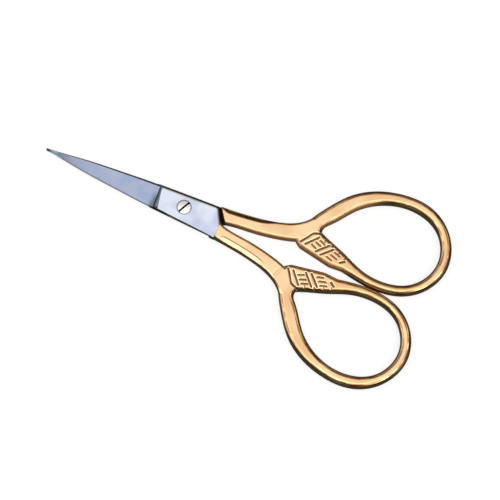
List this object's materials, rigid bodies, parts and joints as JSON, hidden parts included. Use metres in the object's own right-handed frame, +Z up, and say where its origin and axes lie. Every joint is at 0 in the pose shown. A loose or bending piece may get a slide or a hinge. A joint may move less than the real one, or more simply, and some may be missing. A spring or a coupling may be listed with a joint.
{
  "type": "embroidery scissors",
  "caption": "Small pointed embroidery scissors with plated teardrop finger bows and a slotted pivot screw, for cutting thread.",
  "frame": {"origin": "where the pivot screw's axis meets the underside, with the scissors shut and lying flat", "axes": "+X along the scissors from the pivot towards the finger bows, so the points are at -X; +Z up, along the pivot screw; +Y towards the bow of the back half"},
  "size_m": [0.0904, 0.0442, 0.0032],
  "materials": {
    "polished_steel": "polished",
    "gold_plate": "polished gold plating on steel",
    "screw_steel": "polished"
  },
  "bodies": {
    "back_half": {"back_blade": "polished_steel", "back_handle": "gold_plate", "pivot_screw": "screw_steel"},
    "front_half": {"front_blade": "polished_steel", "front_handle": "gold_plate"}
  },
  "joints": [
    {"name": "pivot", "type": "hinge", "parent": "back_half", "child": "front_half", "pos_m": [0, 0, 0.0015], "axis": [0, 0, -1], "range_deg": [0, 90]}
  ]
}
